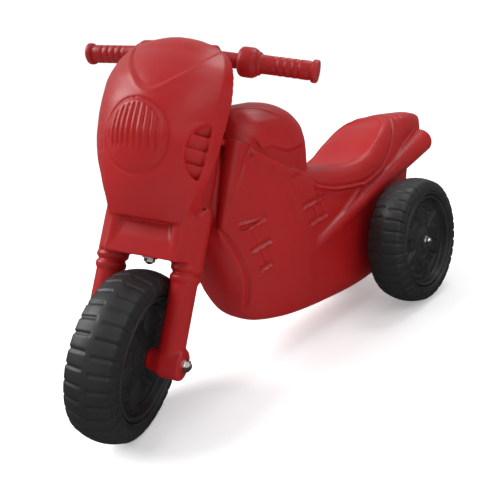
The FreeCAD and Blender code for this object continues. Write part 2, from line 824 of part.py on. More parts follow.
def check(kit):
    """Stops when any object failed, or a sub-part is not a valid solid."""
    for thing in kit.doc.Objects:
        states = [state for state in thing.State if state in ("Invalid", "Error")]
        assert not states, f"{thing.Name}: {states}"
    for part in kit.parts:
        assert not part.Shape.isNull(), part.Label
        assert part.Shape.isValid(), part.Label
        assert len(part.Shape.Solids) == 1, (part.Label, len(part.Shape.Solids))


def main():
    kit = Kit()
    make_body_shell(kit)
    make_fork_fairing(kit)
    make_handlebar(kit)
    pad_top = Vector(
        0, kit.size("dims.bar_setback"), kit.size("dims.bar_height") + PAD_HALF_HEIGHT
    )
    for label, side in (("left", 1), ("right", -1)):
        above = Placement(pad_top + Vector(side * SCREW_OFFSET, 0, 0), Rotation())
        make_screw(kit, f"handlebar_{label}_screw", kit.fork.multiply(above))

    upright = Placement(Vector(), Rotation(Vector(0, 1, 0), -90))
    head = kit.raked.multiply(upright)
    bolt = kit.fork.multiply(upright)
    make_steering_bolt(kit, bolt)
    bolt_hole = "dims.steering_radius + 0.2"
    washer_seats = (
        ("steering_upper_washer", ARM_TOP),
        ("steering_lower_washer", "dims.crown_bottom - dims.washer_thickness"),
    )
    for label, seat in washer_seats:
        top = f"{seat} + dims.washer_thickness"
        kit.tube(label, bolt, bolt_hole, "dims.steering_radius + 6", seat, top)
    downward = Placement(
        Vector(0, 0, kit.size("dims.crown_bottom - dims.washer_thickness")),
        Rotation(Vector(0, 1, 0), 90),
    )
    make_cap_nut(kit, "steering_nut", kit.fork.multiply(downward), "dims.steering_radius")
    make_head_bush(kit, "head_lower_bush", head, HEAD_BOTTOM, -1)
    make_head_bush(kit, "head_upper_bush", head, HEAD_TOP, 1)

    make_wheel_set(kit, "front", kit.fork)
    make_axle(kit, "front_axle", kit.fork, "dims.foot_end + dims.nut_length - 1")
    make_axle_ends(kit, "front", kit.fork, "dims.foot_end")

    rear = Placement(kit.rear, Rotation())
    make_axle(kit, "rear_axle", rear, f"{REAR_SEAT} + dims.nut_length - 1")
    make_axle_ends(kit, "rear", rear, REAR_SEAT)
    wheel_offset = Vector(kit.size("dims.rear_track") / 2, 0, 0)
    spacer_end = (
        "dims.rear_track / 2 - dims.hub_half_length - dims.flange_thickness - dims.running_gap"
    )
    for name, side in (("left", 1), ("right", -1)):
        wheel = Placement(kit.rear + wheel_offset * side, Rotation())
        make_wheel_set(kit, f"rear_{name}", wheel)
        bore = "dims.axle_radius + 0.1"
        kit.tube(f"rear_{name}_spacer", axle_place(rear, side), bore, "9", BOSS_END, spacer_end)

    kit.doc.recompute()
    check(kit)
    os.makedirs("parts", exist_ok=True)
    for part in kit.parts:
        part.Shape.exportStep(f"parts/{part.Label}.step")


main()
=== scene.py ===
"""A child's ride-on motorcycle toy: red blow-moulded body and steered fork on three black wheels.

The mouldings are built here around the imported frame; sizes below are millimetres and degrees.
"""

import json
import math

import bmesh
import bpy
import numpy as np
from mathutils import Matrix, Vector


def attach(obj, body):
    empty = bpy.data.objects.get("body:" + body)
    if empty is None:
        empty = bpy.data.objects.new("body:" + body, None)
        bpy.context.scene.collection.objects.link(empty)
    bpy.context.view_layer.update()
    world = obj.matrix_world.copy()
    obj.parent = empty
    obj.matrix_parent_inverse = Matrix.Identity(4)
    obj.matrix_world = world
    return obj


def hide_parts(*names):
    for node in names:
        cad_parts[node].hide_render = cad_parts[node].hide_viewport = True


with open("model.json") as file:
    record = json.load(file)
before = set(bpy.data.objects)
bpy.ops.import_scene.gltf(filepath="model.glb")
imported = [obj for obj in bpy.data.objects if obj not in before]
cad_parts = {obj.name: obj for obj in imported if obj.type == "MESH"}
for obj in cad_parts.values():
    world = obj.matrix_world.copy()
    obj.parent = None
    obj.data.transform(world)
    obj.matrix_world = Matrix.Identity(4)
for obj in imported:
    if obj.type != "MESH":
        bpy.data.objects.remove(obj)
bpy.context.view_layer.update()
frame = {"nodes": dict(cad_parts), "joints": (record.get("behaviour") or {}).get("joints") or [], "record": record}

MM = 0.001
JOINTS = {joint["name"]: joint for joint in frame["joints"]}
STEERING_UP = Vector(JOINTS["steering"]["axis"])
AXLE_OUT = Vector(JOINTS["front_wheel_spin"]["axis"])
FORK_ORIGIN = Vector(JOINTS["steering"]["pos_m"])
REAR_AXLE = Vector(JOINTS["rear_left_wheel_spin"]["pos_m"]) / MM

# The camera: angles in degrees, lengths in metres, the lens in millimetres.
CAMERA_AZIMUTH = 48.2
CAMERA_ELEVATION = 15.1
CAMERA_ROLL = -9.9
CAMERA_DISTANCE = 0.7787
CAMERA_TARGET = (-0.00804, 0.24324, 0.18636)
CAMERA_LENS = 35.54
TOY_MIDDLE = (0, 0.25, 0.2)

# The main body, front to rear, as (distance back, value).
BODY_TOP = (
    (134, 236), (156, 292), (206, 344), (291, 300), (380, 274), (436, 267), (478, 280),
    (518, 303), (566, 320), (620, 325), (660, 325), (694, 319),
)
BODY_BELLY = (
    (134, 200), (142, 158), (153, 118), (168, 90), (194, 73), (250, 59), (330, 48), (440, 41),
    (500, 44), (545, 58), (585, 104), (612, 160), (632, 238), (660, 252), (694, 262),
)
LOWER_HALF_WIDTH = (
    (134, 18), (140, 33), (150, 45), (165, 54), (190, 60), (300, 62), (560, 62), (694, 54),
)
UPPER_HALF_WIDTH = (
    (134, 24), (156, 46), (206, 56), (300, 62), (370, 64), (410, 70), (470, 76),
    (540, 72), (620, 62), (694, 54),
)
# The tank, bottom to top: height, front end, rear end, half width.
TANK = (
    (252, 150, 361, 54), (285, 165, 362, 57), (315, 180, 363, 58), (340, 192, 359, 56),
    (362, 202, 344, 50), (378, 212, 322, 39), (388, 222, 298, 24), (392, 232, 278, 8),
)
# The saddle's dish is an oval round a place on the body's middle line.
SADDLE_MIDDLE, SADDLE_HALF_LENGTH, SADDLE_HALF_WIDTH = 510, 84, 58
# Where an exhaust pipe and the ridge beside it start and end, on the rider's left.
PIPE_FOOT, PIPE_TIP = np.array(((60.0, 318.0, 158.0), (66.0, 672.0, 266.0)))
RIDGE_FOOT, RIDGE_TIP = np.array(((60.5, 338.0, 160.0), (67.0, 470.0, 230.0)))
# The steering head: its ends along the steering axis, and the column on the rider's left.
HEAD_ENDS = (180.3, 352.3)
HEAD_RADIUS = 30
COLUMN_FOOT, COLUMN_TIP = np.array(((39.0, 148.0, 220.0), (33.0, 212.0, 340.0)))
BOLT_BORE_RADIUS = 8.3
AXLE_BORE_RADIUS = 4.1

# The fork, measured from the front axle along the steering axis and back from it.
# The fairing, bottom to top:
# height, half width, middle of the front, corner of the front, open rear edge.
FAIRING = (
    (172, 56, -46, -36, -6), (192, 62, -62, -42, -8), (204, 66, -71, -46, -18),
    (215, 69, -78, -49, -32), (240, 77, -89, -54, -40), (270, 81, -97, -59, -38),
    (300, 82, -98, -61, -34), (330, 82, -90, -59, -30), (360, 78, -76, -51, -26),
    (384, 70, -60, -40, -22), (399, 56, -47, -33, -20), (408, 32, -37, -30, -20),
)
FAIRING_CORNER = 5
FAIRING_WALL = 4
FAR_VENT_SHARE = 0.1  # the photo shows no slot on the far cheek, only a mark is left of it
LEG_OFFSET = 53
CROWN = ((-34, 126), (-33, 148), (-27, 178))  # (front, height), bottom to top
ARM_BOTTOM, ARM_TOP = 354.6, 384.6
BAR_SETBACK, BAR_HEIGHT, BAR_DROOP = 31, 416, 3.2
PAD_HALF_SIZE = (32, 14, 12)

# The wheels.
TYRE_RADIUS = 110
TREAD_CROWN = 60
DISC_OUT = 17
DISC_RADIUS = 71
TREAD_GROOVES = 36
GROOVE_STAGGER = 0.22
REAR_NOTCHES = 117
SPOKES = 6
WHEEL_STEPS = 468

# Grid of the remeshed skins.
BODY_VOXEL = 1.7
FORK_VOXEL = 1.6

RED = ((0.290, 0.0062, 0.0072), (0.325, 0.0074, 0.0084))
HANDLED_RED = ((0.255, 0.0058, 0.0068), (0.290, 0.0070, 0.0080))


def ease(low, high, value):
    """0 below low, 1 above high, smooth between; low may be the larger."""
    share = np.clip((value - low) / (high - low), 0, 1)
    return share * share * (3 - 2 * share)


def bump(distance, width):
    """A soft ridge of height 1 over distance 0."""
    return np.exp(-((distance / width) ** 2))


def window(value, start, end, soft):
    """1 between start and end, fading over soft outside them."""
    return ease(start - soft, start, value) * ease(end + soft, end, value)


def between(stations, place):
    """Value at each place of a smooth curve through (place, value) stations, never overshooting."""
    spots, values = np.array(stations, float).T
    place = np.clip(place, spots[0], spots[-1])
    spans = np.diff(spots)
    slopes = np.diff(values) / spans
    before, after = slopes[:-1], slopes[1:]
    same_way = before * after > 0
    inner = np.where(same_way, 2 * before * after / np.where(same_way, before + after, 1), 0)
    tangents = np.concatenate((slopes[:1], inner, slopes[-1:]))
    index = np.clip(np.searchsorted(spots, place, side="right") - 1, 0, len(spans) - 1)
    share = (place - spots[index]) / spans[index]
    rest = 1 - share
    bend = tangents[index] * rest - tangents[index + 1] * share
    return (
        values[index] * rest * rest * (1 + 2 * share)
        + values[index + 1] * share * share * (1 + 2 * rest)
        + spans[index] * share * rest * bend
    )


def column(table, index):
    """(height, value) stations from one column of a table of sections."""
    return [(row[0], row[index]) for row in table]


# Forms: each is (points, faces) of a closed surface, in millimetres.


def lofted(rings):
    """A closed form through rings of points, its ends closed flat."""
    rings = np.asarray(rings, float)
    count, around = rings.shape[:2]
    here = np.arange(around)
    there = (here + 1) % around
    faces = []
    for level in range(count - 1):
        low = level * around
        high = low + around
        faces += np.stack((low + here, low + there, high + there, high + here), 1).tolist()
    faces.append(here[::-1].tolist())
    faces.append((here + (count - 1) * around).tolist())
    return rings.reshape(-1, 3), faces


def turned(start, direction, stations, around=64):
    """A form turned about a line; stations are (distance, radius) pairs."""
    direction = np.array(direction, float)
    direction /= np.linalg.norm(direction)
    across = np.cross((0, 0, 1) if abs(direction[2]) < 0.9 else (1, 0, 0), direction)
    across /= np.linalg.norm(across)
    aside = np.cross(direction, across)
    angles = np.linspace(0, math.tau, around, endpoint=False)[:, None]
    spokes = np.cos(angles) * across + np.sin(angles) * aside
    start = np.array(start, float)
    return lofted([start + direction * far + spokes * radius for far, radius in stations])


def boxed(low, high):
    """A box between two corners."""
    (x0, y0, z0), (x1, y1, z1) = low, high
    loop = [(x0, y0), (x1, y0), (x1, y1), (x0, y1)]
    return lofted([[(x, y, z) for x, y in loop] for z in (z0, z1)])


def placed(form, matrix):
    """The form moved by a matrix that has its translation in millimetres."""
    points, faces = form
    turn = np.array(matrix.to_3x3())
    return points @ turn.T + np.array(matrix.translation), faces


def rounded_square(count, lower, upper):
    """Points of a rounded square of half width 1; the powers set how square it is."""
    angles = math.tau * (np.arange(count) + 0.5) / count
    power = np.where(np.sin(angles) > 0, upper, lower)
    across = np.sign(np.cos(angles)) * np.abs(np.cos(angles)) ** power
    rise = np.sign(np.sin(angles)) * np.abs(np.sin(angles)) ** power
    return across, rise


def fork_matrix():
    """From the fork's own axes (along the axle, back, up the steering axis) to the frame."""
    axes = Matrix((AXLE_OUT, STEERING_UP.cross(AXLE_OUT), STEERING_UP)).transposed()
    return Matrix.Translation(FORK_ORIGIN / MM) @ axes.to_4x4()


def raked_matrix():
    """The same for the body's steering head, which doesn't turn."""
    across = Vector((1, 0, 0))
    axes = Matrix((across, STEERING_UP.cross(across), STEERING_UP)).transposed()
    return Matrix.Translation(FORK_ORIGIN / MM) @ axes.to_4x4()


# Mesh objects.


def make_object(name, forms):
    """One mesh object of several closed forms, in metres."""
    points, faces = [], []
    for form_points, form_faces in forms:
        start = sum(len(group) for group in points)
        points.append(form_points)
        faces += [[start + corner for corner in face] for face in form_faces]
    mesh = bpy.data.meshes.new(name)
    mesh.from_pydata((np.concatenate(points) * MM).tolist(), [], faces)
    work = bmesh.new()
    work.from_mesh(mesh)
    bmesh.ops.recalc_face_normals(work, faces=work.faces)
    work.to_mesh(mesh)
    work.free()
    piece = bpy.data.objects.new(name, mesh)
    bpy.context.scene.collection.objects.link(piece)
    return piece


def apply_modifiers(piece):
    """Turns the piece's modifiers into plain mesh."""
    graph = bpy.context.evaluated_depsgraph_get()
    mesh = bpy.data.meshes.new_from_object(piece.evaluated_get(graph))
    piece.modifiers.clear()
    piece.data = mesh


def fuse(piece, voxel, rounds):
    """Merges overlapping forms into one skin and rounds its edges."""
    remesh = piece.modifiers.new("fuse", "REMESH")
    remesh.mode = "VOXEL"
    remesh.voxel_size = voxel * MM
    soften = piece.modifiers.new("soften", "SMOOTH")
    soften.factor = 0.5
    soften.iterations = rounds
    apply_modifiers(piece)


def combine(piece, forms, operation):
    """Joins closed forms to the piece (UNION) or cuts them out of it (DIFFERENCE)."""
    tool = make_object("tool", forms)
    change = piece.modifiers.new("combine", "BOOLEAN")
    change.operation = operation
    change.solver = "MANIFOLD"
    change.object = tool
    apply_modifiers(piece)
    bpy.data.objects.remove(tool)


def read_skin(piece):
    """Points in millimetres and unit normals of the piece's mesh."""
    mesh = piece.data
    points = np.empty(len(mesh.vertices) * 3, np.float32)
    normals = np.empty(len(mesh.vertices) * 3, np.float32)
    mesh.vertices.foreach_get("co", points)
    mesh.vertex_normals.foreach_get("vector", normals)
    return points.reshape(-1, 3).astype(float) / MM, normals.reshape(-1, 3).astype(float)


def write_skin(piece, points):
    """Puts points in millimetres back on the piece's mesh."""
    piece.data.vertices.foreach_set("co", (points * MM).astype(np.float32).ravel())
    piece.data.update()


def settle(piece, body, slot, node, matrix=None, sharp=50):
    """Places and shades the piece, hangs it on its body and hides the frame part it stands for.

    Edges that bend by more than sharp degrees stay crisp.
    """
    if matrix is not None:
        moved = matrix.copy()
        moved.translation *= MM
        piece.data.transform(moved)
    piece.data.shade_smooth()
    piece.data.set_sharp_from_angle(angle=math.radians(sharp))
    piece.data.materials.clear()
    piece.data.materials.append(MATERIALS[slot])
    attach(piece, body)
    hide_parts(node)


# Materials: procedural, read in each object's own coordinates.


class Shader:
    """A Principled material with short helpers for noise, ramps and bump."""

    def __init__(self, name):
        self.material = bpy.data.materials.new(name)
        self.material.use_nodes = True
        self.tree = self.material.node_tree
        self.base = self.tree.nodes["Principled BSDF"]
        self.where = self.node("ShaderNodeTexCoord").outputs["Object"]

    def node(self, kind, **settings):
        made = self.tree.nodes.new(kind)
        for name, value in settings.items():
            setattr(made, name, value)
        return made

    def link(self, source, target):
        self.tree.links.new(source, target)

    def noise(self, scale, detail=4.0, stretch=None):
        made = self.node("ShaderNodeTexNoise")
        made.inputs["Scale"].default_value = scale
        made.inputs["Detail"].default_value = detail
        where = self.where
        if stretch:
            mapping = self.node("ShaderNodeMapping")
            mapping.inputs["Scale"].default_value = stretch
            self.link(where, mapping.inputs["Vector"])
            where = mapping.outputs["Vector"]
        self.link(where, made.inputs["Vector"])
        return made.outputs["Fac"]

    def ramp(self, source, stops):
        made = self.node("ShaderNodeValToRGB")
        elements = made.color_ramp.elements
        while len(elements) < len(stops):
            elements.new(0.5)
        for element, (place, colour) in zip(elements, stops):
            element.position = place
            element.color = (*colour, 1) if len(colour) == 3 else colour
        self.link(source, made.inputs["Fac"])
        return made.outputs["Color"]

    def mix(self, share, first, second, kind="MIX"):
        made = self.node("ShaderNodeMix", data_type="RGBA", blend_type=kind)
        for value, socket in ((share, 0), (first, 6), (second, 7)):
            if isinstance(value, bpy.types.NodeSocket):
                self.link(value, made.inputs[socket])
            else:
                made.inputs[socket].default_value = value
        return made.outputs[2]

    def spread(self, source, low, high):
        made = self.node("ShaderNodeMapRange")
        made.inputs["To Min"].default_value = low
        made.inputs["To Max"].default_value = high
        made.inputs["From Min"].default_value = 0.25
        made.inputs["From Max"].default_value = 0.75
        self.link(source, made.inputs["Value"])
        return made.outputs["Result"]

    def bump(self, source, strength, distance, under=None):
        made = self.node("ShaderNodeBump")
        made.inputs["Strength"].default_value = strength
        made.inputs["Distance"].default_value = distance
        self.link(source, made.inputs["Height"])
        if under:
            self.link(under, made.inputs["Normal"])
        return made.outputs["Normal"]

    def edges(self, low, high):
        """Near 1 on outward edges, which rub pale on a moulding."""
        worn = self.node("ShaderNodeNewGeometry").outputs["Pointiness"]
        return self.ramp(worn, ((low, (0, 0, 0)), (high, (1, 1, 1))))


def red_plastic(name, colours, polish):
    """Blow-moulded polyethylene: soft milky gloss, slight orange peel, paler rubbed edges."""
    shader = Shader(name)
    deep, bright = colours
    clouds = shader.noise(9, 3)
    grain = shader.noise(900, 2)
    colour = shader.ramp(clouds, ((0.3, deep), (0.7, bright)))
    rubbed = [part * 1.25 + 0.02 for part in bright]
    worn = shader.mix(shader.edges(0.53, 0.62), colour, (*rubbed, 1))
    shader.link(worn, shader.base.inputs["Base Color"])
    roughness = shader.spread(shader.noise(24, 5), polish, polish + 0.1)
    shader.link(roughness, shader.base.inputs["Roughness"])
    peel = shader.bump(shader.noise(140, 2), 0.10, 0.0006)
    shader.link(shader.bump(grain, 0.08, 0.0002, peel), shader.base.inputs["Normal"])
    shader.base.inputs["Specular IOR Level"].default_value = 0.25
    shader.base.inputs["Subsurface Weight"].default_value = 0.06
    shader.base.inputs["Subsurface Radius"].default_value = (0.004, 0.001, 0.001)
    return shader.material


def black_plastic(name):
    """Moulded wheel plastic: near black with a soft sheen, greyer on rubbed edges."""
    shader = Shader(name)
    clouds = shader.noise(16, 5)
    colour = shader.ramp(clouds, ((0.3, (0.014, 0.014, 0.0147)), (0.7, (0.020, 0.0203, 0.0212))))
    worn = shader.mix(shader.edges(0.52, 0.60), colour, (0.036, 0.036, 0.038, 1))
    shader.link(worn, shader.base.inputs["Base Color"])
    shader.link(shader.spread(shader.noise(60, 6), 0.33, 0.48), shader.base.inputs["Roughness"])
    shader.link(shader.bump(shader.noise(260, 3), 0.12, 0.0004), shader.base.inputs["Normal"])
    shader.base.inputs["Specular IOR Level"].default_value = 0.25
    return shader.material


def dull_nylon(name):
    """Black nylon of the bushes and spacers."""
    shader = Shader(name)
    clouds = shader.noise(80, 4)
    colour = shader.ramp(clouds, ((0.3, (0.018, 0.018, 0.019)), (0.7, (0.034, 0.034, 0.036))))
    shader.link(colour, shader.base.inputs["Base Color"])
    shader.link(shader.spread(shader.noise(200, 4), 0.5, 0.68), shader.base.inputs["Roughness"])
    shader.link(shader.bump(shader.noise(500, 2), 0.2, 0.0003), shader.base.inputs["Normal"])
    return shader.material


def bright_zinc(name):
    """Zinc-plated steel with a fine brushed grain and faint yellow clouds."""
    shader = Shader(name)
    clouds = shader.noise(120, 4)
    colour = shader.ramp(clouds, ((0.3, (0.55, 0.54, 0.50)), (0.7, (0.74, 0.73, 0.71))))
    shader.link(colour, shader.base.inputs["Base Color"])
    roughness = shader.spread(shader.noise(400, 5, (1, 8, 8)), 0.16, 0.34)
    shader.link(roughness, shader.base.inputs["Roughness"])
    brushed = shader.bump(shader.noise(900, 3, (1, 6, 6)), 0.15, 0.0002)
    shader.link(brushed, shader.base.inputs["Normal"])
    shader.base.inputs["Metallic"].default_value = 1.0
    return shader.material


def make_materials():
    """One material for each slot of the frame's record."""
    return {
        "red_body_plastic": red_plastic("red_body", RED, 0.31),
        "red_fork_plastic": red_plastic("red_fork", RED, 0.31),
        "red_bar_plastic": red_plastic("red_bar", HANDLED_RED, 0.34),
        "black_wheel_plastic": black_plastic("black_wheel"),
        "black_nylon": dull_nylon("black_nylon"),
        "zinc_steel": bright_zinc("zinc_steel"),
    }


MATERIALS = make_materials()


# The main body.


def before_panel(y, z):
    """How far a place is in front of the edge where the flank panel meets the column."""
    return (149 - y) * 0.828 + (z - 232) * 0.560


def hull_form():
    """Front bulge, belly, saddle and tail in one free form."""
    around = 160
    roundness = ((134, 0.95), (165, 0.8), (195, 0.55), (250, 0.4))
    rings = []
    for place in np.linspace(BODY_TOP[0][0], BODY_TOP[-1][0], 150):
        across, rise = rounded_square(around, between(roundness, place), 0.5)
        top, belly = between(BODY_TOP, place), between(BODY_BELLY, place)
        lower, upper = between(LOWER_HALF_WIDTH, place), between(UPPER_HALF_WIDTH, place)
        heights = (top + belly) / 2 + (top - belly) / 2 * rise
        half_width = lower + (upper - lower) * between(((190, 0), (250, 1)), heights)
        half_width -= 16 * ease(0, 5, before_panel(place, heights)) * ease(226, 244, heights)
        rings.append(np.stack((half_width * across, np.full(around, place), heights), 1))
    return lofted(rings)


def tank_form():
    """The bulging tank in front of the saddle."""
    around = 96
    across, along = rounded_square(around, 0.8, 0.7)
    rings = []
    for height in np.linspace(TANK[0][0], TANK[-1][0], 60):
        front, rear, half_width = (between(column(TANK, index), height) for index in (1, 2, 3))
        backs = (front + rear) / 2 + (rear - front) / 2 * along
        rings.append(np.stack((half_width * across, backs, np.full(around, height)), 1))
    return lofted(rings)


def head_forms():
    """The steering head: a round post on the steering axis and a tapered column on each side."""
    turns = np.linspace(-math.pi, 0, 25)
    nose = [(HEAD_RADIUS * math.cos(turn), HEAD_RADIUS * math.sin(turn)) for turn in turns]
    post = [*nose, (HEAD_RADIUS, 60), (-HEAD_RADIUS, 60)]
    rings = [[(across, back, height) for across, back in post] for height in HEAD_ENDS]
    forms = [placed(lofted(rings), raked_matrix())]
    for side in (-1, 1):
        mirror = np.array((side, 1, 1))
        foot, run = COLUMN_FOOT * mirror, (COLUMN_TIP - COLUMN_FOOT) * mirror
        length = np.linalg.norm(run)
        stations = [(0, 3), (10, 7), (length * 0.5, 14), (length - 2, 19), (length, 18)]
        forms.append(turned(foot, run, stations))
    return forms


def pipe_forms(side):
    """An exhaust pipe that rises from a pointed foot, and the raised ridge beside it."""
    mirror = np.array((side, 1, 1))
    run = (PIPE_TIP - PIPE_FOOT) * mirror
    length = np.linalg.norm(run)
    stations = [(2, 3), (6, 7), (14, 9.5), (60, 11.5), (150, 15), (260, 19.5), (length - 6, 24.5)]
    stations += [(length - 2, 23), (length, 20)]
    pipe = turned(PIPE_FOOT * mirror, run, stations)
    ridge_run = (RIDGE_TIP - RIDGE_FOOT) * mirror
    reach = np.linalg.norm(ridge_run)
    ridge = turned(RIDGE_FOOT * mirror, ridge_run, [(0, 1), (10, 4), (reach - 10, 4.5), (reach, 1)])
    return [pipe, ridge]


def fin_relief(y, z, start, end, height):
    """A louvre: a thin raised lip with a hollow above it, fading at both ends."""
    (start_y, start_z), (end_y, end_z) = start, end
    share = (y - start_y) / (end_y - start_y)
    above = z - (start_z + (end_z - start_z) * share)
    along = window(y, start_y + 4, end_y - 5, 5)
    return height * along * (1.2 * bump(above, 1.6) - 0.9 * bump(above - 4.5, 2.6))


def side_relief(y, z):
    """Moulded detail on the body's flanks, in millimetres outwards."""
    relief = np.zeros_like(y)
    ledge = between(((205, 342), (218, 334), (249, 311), (272, 298), (295, 284), (330, 270)), y)
    above = z - ledge
    raised = ease(0.9, -0.9, above) * ease(-40, -4, above)
    relief += window(y, 224, 294, 6) * (1.8 * raised - 2.2 * bump(above - 3, 2.4))
    edge = ((228, 344), (233, 340), (240, 327), (263, 325), (278, 318), (293, 314), (330, 316))
    wavy = between(edge, y)
    knee = ease(-2.4, 2.4, wavy - z) * ease(0, 6, above) * window(y, 236, 322, 14)
    relief += -4.0 * knee + 0.6 * bump(z - wavy - 4, 4) * window(y, 236, 322, 12)
    for stud_y, stud_z in ((219, 321), (248, 298), (287, 278)):
        distance = np.hypot(y - stud_y, z - stud_z)
        relief += 1.5 * bump(distance - 4.0, 1.6) - 0.8 * bump(distance, 2)
    louvres = (
        ((172, 233), (222, 231), 2.0), ((172, 222), (224, 228), 2.6), ((181, 189), (226, 194), 2.6),
        ((190, 157), (218, 161), 2.4), ((298, 222), (369, 228), 2.6), ((308, 192), (358, 197), 2.4),
    )
    for start, end, height in louvres:
        relief += fin_relief(y, z, start, end, height)
    # Upright hollows that tie each louvre to the next one down.
    for start_y, low, high in ((198, 197, 219), (206, 165, 186), (330, 200, 220), (350, 200, 220)):
        relief -= 1.5 * bump(y - start_y + (z - low) * 0.18, 2.6) * window(z, low, high, 4)
    # A ledge under the pipe's foot, the soft edge of the flank's sunk middle, and the groove
    # between the flank panel and the column.
    below_foot = between(((300, 146), (360, 150), (430, 166)), y) - z
    relief -= 1.4 * ease(-1.2, 1.2, below_foot) * window(y, 312, 420, 20)
    relief -= 1.3 * bump(y - between(((200, 292), (280, 268)), z), 8.0) * window(z, 210, 262, 20)
    return relief - 1.6 * bump(before_panel(y, z) - 0.5, 2.0) * window(z, 240, 318, 8)


def saddle_bead(y):
    """Height of the bead that outlines the saddle's cushion, seen from the side."""
    stations = (
        (330, 258), (351, 245), (402, 231), (459, 226), (504, 236), (540, 257), (572, 286),
        (598, 316), (612, 340),
    )
    return between(stations, y)


def saddle_relief(y, z):
    """The roll round the saddle: a bead along its edge, and the body tucked in outside it."""
    slope = (saddle_bead(y + 1) - saddle_bead(y - 1)) / 2
    under = (saddle_bead(y) - z) / np.sqrt(1 + slope**2)
    bead = 1.7 * bump(under, 1.9) - 2.2 * bump(under + 4.6, 2.2) - 1.2 * bump(under - 4, 2.4)
    tuck = ease(1.5, 5, under) * ease(38, 12, under) * ease(560, 520, y)
    return window(y, 344, 596, 12) * (bead - 3.4 * tuck)


def saddle_edge(across, y):
    """How far out a place is from the middle of the saddle's dish: 1 at its rim."""
    return np.hypot(across / SADDLE_HALF_WIDTH, (y - SADDLE_MIDDLE) / SADDLE_HALF_LENGTH)


def cowl_relief(y, z):
    """The hollow line between the flank and the rounded front cowl."""
    crease = between(((90, 166), (128, 170), (157, 171), (189, 164), (219, 154), (241, 141)), z)
    ahead = crease - y
    return window(z, 92, 236, 14) * (1.2 * bump(ahead - 7, 6) - 3.2 * bump(ahead, 3.0))


def top_relief(across, y, z):
    """The dished saddle, the spine and cap of the tank and the steps across the tail."""
    dish = np.clip(1 - saddle_edge(across, y) ** 2, 0, 1) ** 0.5
    relief = np.where(y > 400, -9.5 * dish, 0)
    spine = between(((195, 18), (225, 22), (255, 32), (290, 48)), y)
    outside = across - spine
    tank_top = ease(345, 356, z) * window(y, 232, 282, 16)
    relief -= tank_top * 1.6 * ease(-1.2, 1.6, outside) * ease(34, 12, outside)
    on_tail = ease(296, 306, z) * ease(60, 52, across)
    for step_y, rise in ((606, 1.8), (618, -1.2), (632, -1.2)):
        relief += rise * bump(y - step_y + across * 0.12, 2.0) * on_tail
    return relief


def saddle_roll(across, y, z, upward):
    """The padded roll round the saddle's dish, in millimetres outwards."""
    beside = ease(238, 248, z) * ease(395, 415, y) * ease(600, 580, y) * ease(0.05, 0.3, upward)
    return 2.4 * beside * bump((saddle_edge(across, y) - 1.16) * 60, 7.5)


def body_skin(points, normals):
    """The body's skin with all its moulded detail."""
    x, y, z = points.T
    across = np.abs(x)
    flank = ease(0.35, 0.72, np.abs(normals[:, 0])) * ease(44, 50, across)
    crown = ease(0.25, 0.6, normals[:, 2])
    front = ease(0.1, 0.4, np.abs(normals[:, 0])) * ease(34, 42, across)
    relief = flank * (side_relief(y, z) + saddle_relief(y, z))
    relief += front * cowl_relief(y, z) + crown * top_relief(across, y, z)
    relief += saddle_roll(across, y, z, normals[:, 2])
    return points + normals * relief[:, None]


def make_body():
    """The hollow blow-moulded body with its steering head, exhaust pipes and axle bosses."""
    boss = turned((-72, REAR_AXLE.y, REAR_AXLE.z), (1, 0, 0), [(0, 13), (144, 13)])
    cap = turned((0, 214, 386), (0, -0.12, 1), [(0, 15), (6, 15), (8, 13)])
    forms = [hull_form(), tank_form(), *head_forms(), *pipe_forms(1), *pipe_forms(-1), boss, cap]
    piece = make_object("body_moulding", forms)
    fuse(piece, BODY_VOXEL, 7)
    write_skin(piece, body_skin(*read_skin(piece)))
    bolt = [(0, BOLT_BORE_RADIUS), (200, BOLT_BORE_RADIUS)]
    axle = [(0, AXLE_BORE_RADIUS), (200, AXLE_BORE_RADIUS)]
    bores = [
        placed(turned((0, 0, 170), (0, 0, 1), bolt), raked_matrix()),
        turned((-100, REAR_AXLE.y, REAR_AXLE.z), (1, 0, 0), axle),
    ]
    combine(piece, bores, "DIFFERENCE")
    settle(piece, "chassis", "red_body_plastic", "body_shell")


# The steered fork and fairing, in the fork's own axes.


def fairing_row(height):
    """Half width, front, corner and rear edge of the fairing at each height."""
    return [between(column(FAIRING, index), height) for index in (1, 2, 3, 4)]


def bowed(across, nose, front, corner):
    """An arc from the front's middle to its corners, which are nose to each side."""
    rise = corner - front
    radius = (nose**2 + rise**2) / (2 * rise)
    return front + radius - np.sqrt(np.maximum(radius**2 - across**2, 0))


def front_face(across, height):
    """How far back the bowed front is at each place."""
    half_width, front, corner, _ = fairing_row(height)
    nose = half_width - FAIRING_CORNER
    return bowed(np.minimum(across, nose), nose, front, corner)


def fairing_outline(height, inset):
    """The fairing's section from its left rear edge round the front to its right rear edge."""
    half_width, front, corner, rear = fairing_row(height)
    nose = half_width - FAIRING_CORNER - inset
    across = nose * np.sin(np.linspace(-math.pi / 2, math.pi / 2, 61))
    backs = bowed(across, nose, front, corner) + inset
    share = np.linspace(0, 1, 8, endpoint=False)[:, None]
    ends = []
    for side in (-1, 1):
        rear_corner = np.array((side * (half_width - inset), rear))
        front_corner = np.array((side * nose, corner + inset))
        ends.append(rear_corner + (front_corner - rear_corner) * share)
    return np.concatenate((ends[0], np.stack((across, backs), 1), ends[1][::-1]))


